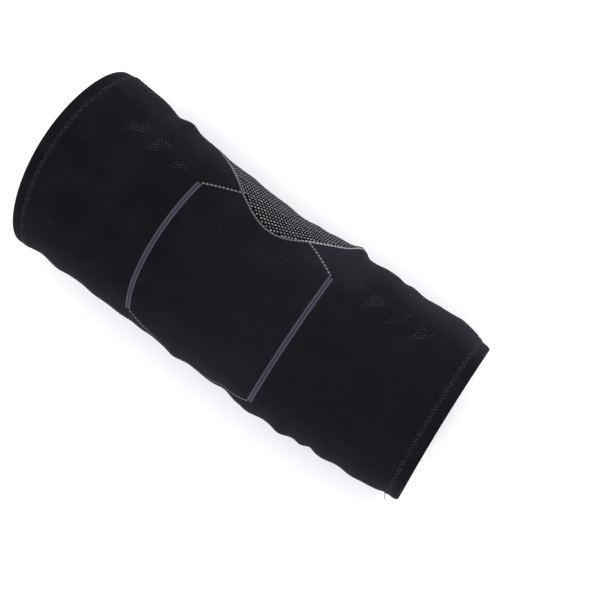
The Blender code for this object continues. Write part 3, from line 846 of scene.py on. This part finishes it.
# ---- the sleeve's cloth ----------------------------------------------------------------------
upper_back = line(UPPER_BACK, BACK_CORNER, 34)
lower_back = chain(line(LOWER_BACK, LOWER_BACK_BEND, 14), line(LOWER_BACK_BEND, BACK_CORNER, 30))
upper_half = half_edge(VENT_S[0], UPPER_JUNCTION, UPPER_FRONT, UPPER_STRIPE, upper_back)
lower_half = half_edge(VENT_S[-1], LOWER_JUNCTION, LOWER_FRONT, LOWER_STRIPE, lower_back)
bends(sleeve("upper_sleeve_knit", UPPER_END, upper_half, BLACK), "black_knit", "upper_sleeve")
bends(sleeve("forearm_sleeve_knit", FOREARM_END, lower_half, BLACK), "black_knit", "forearm_sleeve")

panel = chain(
    UPPER_STRIPE,
    upper_back,
    lower_back[::-1],
    LOWER_STRIPE[::-1],
    line(LOWER_FRONT, LOWER_JUNCTION, 24),
    vent_edge(LOWER_JUNCTION_S, UPPER_JUNCTION_S, 60),
    line(UPPER_JUNCTION, UPPER_FRONT, 24),
)[:-1]
for side, outline, middle in (("lateral", panel, 10), ("medial", mirrored(panel), 170)):
    cloth = star_shell(f"{side}_panel_knit", (3 * MM, middle), outline, 54, KNIT, BLACK)
    bends(cloth, "black_knit", f"{side}_panel")

vent_half = vent_edge(VENT_S[0], VENT_S[-1], 140)
vent_other = np.stack([vent_half[::-1, 0], 2 * CROOK_PHI - vent_half[::-1, 1]], -1)
vent_outline = np.concatenate([vent_half, vent_other[1:-1]])
cloth = star_shell("crook_vent_mesh", (VENT_MIDDLE_S, CROOK_PHI), vent_outline, 44, KNIT, VENT)
bends(cloth, "vent_knit", "crook_vent")

# ---- the vent's knots and the yarn lines -----------------------------------------------------
STRIPE_SHIFT = 0.75 * MM  # each stripe of a pair, from the pair's middle
light_knots = knots(
    "crook_vent_knots", vent_outline, KNOTS, clear=1.25 * MM, half=0.51 * MM, high=0.40 * MM
)
bends(light_knots, "grey_yarn")


def edging_painted_light(s):
    """The vent's edging carries painted light: lightest over the fold on the forearm as a painted
    highlight, and dim round the bulge as painted shade.
    """
    return np.interp(s / MM, (-34, -26, 14, 22), (0.50, 0.20, 0.23, 1.0))


edging = yarn_line(
    "crook_vent_edging_yarn", vent_outline, EDGING, half=0.68 * MM, high=0.33 * MM,
    closed=True, stitch=1.9, bead=0.45, painted_light=edging_painted_light,
)
bends(edging, "grey_yarn", "crook_vent_edging")
for side, sign, on_side in (("lateral", 1, lambda path: path), ("medial", -1, mirrored)):
    for end, stripe, outer in (("upper", UPPER_STRIPE, 1), ("forearm", LOWER_STRIPE, -1)):
        path = on_side(cut_short(stripe, 0.3 * MM, 0.3 * MM))
        for place, way in (("outer", 1), ("inner", -1)):
            name = f"{side}_{end}_stripe_{place}"
            made = yarn_line(
                f"{name}_yarn", path, GREY, half=0.60 * MM, high=0.24 * MM,
                shift=outer * sign * way * STRIPE_SHIFT,
            )
            bends(made, "grey_yarn", name)
    for end, junction, front, back in (
        ("upper", UPPER_JUNCTION, UPPER_FRONT, upper_back),
        ("forearm", LOWER_JUNCTION, LOWER_FRONT, lower_back),
    ):
        path = on_side(cut_short(line(junction, front, 60), 0.7 * MM, 0.9 * MM))
        name = f"{side}_{end}_front_piping"
        made = yarn_line(
            f"{name}_yarn", path, PIPING, half=0.58 * MM, high=0.37 * MM, stitch=2.1, bead=0.95
        )
        bends(made, "grey_yarn", name)
        path = on_side(cut_short(back, 0.9 * MM, 0.4 * MM))
        name = f"{side}_{end}_back_piping"
        made = yarn_line(
            f"{name}_yarn", path, PIPING, half=0.42 * MM, high=0.30 * MM, stitch=2.1, bead=0.5
        )
        bends(made, "grey_yarn", name)

# ---- cuffs -----------------------------------------------------------------------------------
STITCHES = 88  # zigzags in each hem
STEPS_PER_LEG = 6  # points along each leg of a stitch
ELASTIC_SECTION = (  # round the elastic's section: distance from the cuff's end, and lift, in mm
    (1.5, -2.35),
    (3.5, -2.30),
    (6.5, -2.55),
    (9.5, -2.30),
    (11.2, -2.35),
    (11.5, -2.7),
    (11.2, -3.05),
    (9.5, -3.10),
    (6.5, -3.35),
    (3.5, -3.10),
    (1.5, -3.05),
    (1.2, -2.7),
)
GRIP_HALF, GRIP_HIGH = 1.5 * MM, 0.8 * MM
GRIP_FROM_END, GRIP_SWING, GRIP_WAVES = 15.5, 1.5, 12  # in mm, in mm, and how many round the cuff


def uneven(count, seed):
    """Small slips of the sewing: one number from -1 to 1 for each leg of a stitch."""
    return np.sin(np.arange(count) * 12.9898 + seed) * np.cos(np.arange(count) * 4.1414 + 2 * seed)


def zigzag(end, under):
    """The route of a zigzag thread over the cloth between the hem's two rows of holes. The under
    thread starts from the other row and passes below the upper one where they cross."""
    share = np.arange(2 * STITCHES * STEPS_PER_LEG) / STEPS_PER_LEG
    leg, part = np.floor(share).astype(int), share % 1.0
    row = np.where(leg % 2 == under, part, 1 - part)
    reach = STITCH_REACH * (1 + 0.2 * uneven(2 * STITCHES, end)[leg])
    phi = 180 * share / STITCHES + 0.35 * np.sin(share * 2.3)
    from_end = STITCH_MIDDLE + reach * (2 * row - 1)
    rise = 0.20 if under else 0.58 + 0.07 * uneven(2 * STITCHES, 3.0 + end)[leg]
    lift = hem_lift(from_end) + (-0.23 + rise * np.sin(math.pi * part) ** 0.6) * MM
    return on_cuff(end, from_end, phi, lift)


def elastic_band(name, end):
    """The ribbed ring of elastic inside a hem."""
    phi = np.arange(240) * 1.5
    rows = [(cuff_place(end, from_end * MM, phi), lift * MM) for from_end, lift in ELASTIC_SECTION]
    points = np.stack([on_arm(s, phi, lift) for s, lift in rows])
    knit = np.stack([knit_coordinates(s, phi) for s, _ in rows])
    faces = quads(len(rows), len(phi), close_columns=True, close_rows=True)
    piece = mesh_object(name, points, faces, knit, ELASTIC)
    face_outwards(piece)
    return piece


def grip_line(name, end):
    """The wavy line of silicone inside a cuff, which stands in towards the arm."""
    phi = np.arange(720) * 0.5
    from_end = (GRIP_FROM_END + GRIP_SWING * np.sin(np.radians(phi) * GRIP_WAVES)) * MM
    points, at = spaced(np.stack([cuff_place(end, from_end, phi), phi], -1), 0.8 * MM, closed=True)
    place, side, out = path_frames(points, -KNIT, closed=True)
    rows = [place + side * (x * GRIP_HALF) - out * (y * GRIP_HIGH) for x, y in YARN_PROFILE]
    knit = np.zeros((len(points), len(rows), 3))
    knit[..., 0], knit[..., 1] = (at / MM)[:, None], np.arange(len(rows))[None, :]
    faces = quads(len(points), len(rows), close_columns=True, close_rows=True)
    piece = mesh_object(name, np.stack(rows, 1), faces, knit, SILICONE)
    face_outwards(piece)
    return piece


def thread_end():
    """The loose end of the forearm hem's thread, which curls out from the cloth."""
    share = np.linspace(0, 1, 16)
    from_end, phi = (7.4 - 1.9 * share**1.3) * MM, 82 + 2.0 * np.sin(share * 3)
    points = on_cuff(FOREARM_END, from_end, phi, (0.1 + 3.0 * share**1.2) * MM)
    return tube("forearm_thread_end", points, 0.16 * MM, THREAD)


for end_name, body, end in (("upper", "upper_arm", UPPER_END), ("forearm", "forearm", FOREARM_END)):
    seam = tube(f"{end_name}_hem_thread", zigzag(end, 0), 0.2 * MM, THREAD, closed=True)
    stays(seam, body, "black_thread", f"{end_name}_hem_stitching")
    under = tube(f"{end_name}_hem_under_thread", zigzag(end, 1), 0.17 * MM, THREAD, closed=True)
    stays(under, body, "black_thread")
    band = elastic_band(f"{end_name}_cuff_elastic_band", end)
    stays(band, body, "elastic", f"{end_name}_cuff_elastic")
    grip = grip_line(f"{end_name}_grip_silicone", end)
    stays(grip, body, "silicone", f"{end_name}_grip_line")
stays(thread_end(), "forearm", "black_thread", "forearm_thread_tail")

# ---- pad and its pocket ----------------------------------------------------------------------
PAD_CENTRE = (3 * MM, 90)
PAD_HALF_LENGTH, PAD_HALF_ANGLE = 38 * MM, 36
OUTLINE_POINTS = 160
POCKET_STEPS = 6  # points along each stitch of the pocket's seam
ARM_MIDDLE_Z = 43 * MM
SWELL_FRAMES = 20


def rounded_outline(margin, count=OUTLINE_POINTS):
    """The pad's outline, a square with very round corners, grown by margin."""
    turn = np.linspace(0, 2 * math.pi, count, endpoint=False)
    c, d = (np.copysign(np.abs(one) ** (2 / 3), one) for one in (np.cos(turn), np.sin(turn)))
    reach = PAD_HALF_ANGLE + math.degrees(margin / PATTERN_RADIUS)
    s = PAD_CENTRE[0] + (PAD_HALF_LENGTH + margin) * c
    return np.stack([s, PAD_CENTRE[1] + reach * d], -1)


def swell_out(piece, voxel, pressure, cap):
    """Puffs the piece up by a short cloth simulation that moves no point by more than cap."""
    remesh = piece.modifiers.new("remesh", "REMESH")
    remesh.mode = "VOXEL"
    remesh.voxel_size = voxel
    graph = bpy.context.evaluated_depsgraph_get()
    data = bpy.data.meshes.new_from_object(piece.evaluated_get(graph))
    piece.modifiers.clear()
    piece.data = data
    rest = np.empty(len(data.vertices) * 3, np.float32)
    data.vertices.foreach_get("co", rest)
    cloth = piece.modifiers.new("cloth", "CLOTH")
    cloth.settings.use_pressure = True
    cloth.settings.uniform_pressure_force = pressure
    cloth.settings.effector_weights.gravity = 0
    cloth.settings.quality = 4
    cloth.point_cache.frame_start, cloth.point_cache.frame_end = 1, SWELL_FRAMES
    scene = bpy.context.scene
    for step in range(1, SWELL_FRAMES + 1):
        scene.frame_set(step)
    graph = bpy.context.evaluated_depsgraph_get()
    moved_mesh = piece.evaluated_get(graph).to_mesh()
    moved = np.empty(len(rest), np.float32)
    moved_mesh.vertices.foreach_get("co", moved)
    piece.modifiers.clear()
    scene.frame_set(1)
    shift = (moved - rest).reshape(-1, 3)
    length = np.linalg.norm(shift, axis=1, keepdims=True)
    shift *= np.minimum(1.0, cap / np.maximum(length, 1e-9))
    data.vertices.foreach_set("co", (rest.reshape(-1, 3) + shift).ravel())
    data.update()


def knit_from_place(piece):
    """Gives a remeshed piece its knit coordinates, from where its points are round the arm."""
    co = np.empty(len(piece.data.vertices) * 3, np.float32)
    piece.data.vertices.foreach_get("co", co)
    co = co.reshape(-1, 3).astype(float)
    phi = np.degrees(np.arctan2(-co[:, 1], co[:, 2] - ARM_MIDDLE_Z))
    knit = knit_coordinates(co[:, 0], phi)
    attributes = piece.data.attributes
    made = attributes.get("knit") or attributes.new("knit", "FLOAT_VECTOR", "POINT")
    made.data.foreach_set("vector", knit.astype(np.float32).ravel())


pad_outline = rounded_outline(-1 * MM)
pad = star_shell(
    "elbow_pad_foam", PAD_CENTRE, pad_outline, 18, 3.6 * MM, FOAM, lambda share: -2.5 * MM
)
bends(pad, "foam", "elbow_pad")


def pocket_lift(share):
    """The lining lies over the foam and meets the cloth at its rim. It falls too early for the
    foam's rim, which comes through it by up to 1 mm."""
    return -(2.0 + 4.6 * (1 - np.clip(np.asarray(share) / 0.93, 0, 1) ** 5)) * MM


pocket = star_shell(
    "pad_pocket_lining", PAD_CENTRE, rounded_outline(8 * MM), 30, 1.0 * MM, LINING, pocket_lift
)
# cells as large as the lining is thick leave small holes in it
swell_out(pocket, 1.0 * MM, 1.5, 0.7 * MM)
knit_from_place(pocket)
pocket.data.shade_smooth()
bends(pocket, "lining", "pad_pocket")

route = rounded_outline(5.5 * MM, OUTLINE_POINTS * POCKET_STEPS)
over = np.sin(math.pi * (np.arange(len(route)) / POCKET_STEPS % 1.0)) ** 0.6
seam = on_arm(route[:, 0], route[:, 1], (-3.0 - 0.45 * over) * MM)
seam_thread = tube("pad_pocket_thread", seam, 0.2 * MM, THREAD, closed=True)
bends(seam_thread, "black_thread", "pad_pocket_stitching")


# ---- stage, light and camera -----------------------------------------------------------------
def plane(name, size, z, colour):
    data = bpy.data.meshes.new(name)
    half = size / 2
    corners = [(-half, -half, z), (half, -half, z), (half, half, z), (-half, half, z)]
    data.from_pydata(corners, [], [(0, 1, 2, 3)])
    piece = bpy.data.objects.new(name, data)
    bpy.context.scene.collection.objects.link(piece)
    material = bpy.data.materials.new(name)
    material.use_nodes = True
    shader = material.node_tree.nodes["Principled BSDF"]
    shader.inputs["Base Color"].default_value = (*colour, 1)
    shader.inputs["Roughness"].default_value = 0.9
    shader.inputs["Specular IOR Level"].default_value = 0.1
    data.materials.append(material)


def area_light(name, place, size, power):
    """A round light that points at the sleeve."""
    light = bpy.data.lights.new(name, "AREA")
    light.shape = "DISK"
    light.size = size
    light.energy = power
    piece = bpy.data.objects.new(name, light)
    piece.location = place
    towards = Vector((0, 0, 0.04)) - Vector(place)
    piece.rotation_euler = towards.to_track_quat("-Z", "Y").to_euler()
    bpy.context.scene.collection.objects.link(piece)


plane("floor", 6.0, -0.2 * MM, (0.94, 0.94, 0.95))
area_light("key", (0.25, 1.25, 0.85), 0.9, 17.5)
area_light("fill", (-0.9, -0.5, 1.2), 1.2, 8)
area_light("back", (0.2, -1.4, 0.55), 1.0, 10)
area_light("top", (0.1, 0.0, 1.9), 1.4, 10)
world = bpy.data.worlds.new("studio")
world.use_nodes = True
world.node_tree.nodes["Background"].inputs[0].default_value = (0.95, 0.96, 1.0, 1)
world.node_tree.nodes["Background"].inputs[1].default_value = 0.70
bpy.context.scene.world = world
bpy.context.scene.view_settings.view_transform = "Standard"

TILT, ROLL = math.radians(5.9), math.radians(35.9)
TARGET, DISTANCE = Vector((29.2 * MM, 12.0 * MM, 43 * MM)), 800 * MM
camera_data = bpy.data.cameras.new("camera")
camera_data.lens = 96
camera_data.sensor_width = 36
camera = bpy.data.objects.new("camera", camera_data)
back = Vector((math.sin(TILT), 0, math.cos(TILT)))
level = Vector((math.cos(TILT), 0, -math.sin(TILT)))
cross = Vector((0, 1, 0))
right = level * math.cos(ROLL) + cross * math.sin(ROLL)
up = cross * math.cos(ROLL) - level * math.sin(ROLL)
facing = Matrix((right, up, back)).transposed()
camera.matrix_world = Matrix.Translation(TARGET + back * DISTANCE) @ facing.to_4x4()
bpy.context.scene.collection.objects.link(camera)
bpy.context.scene.camera = camera
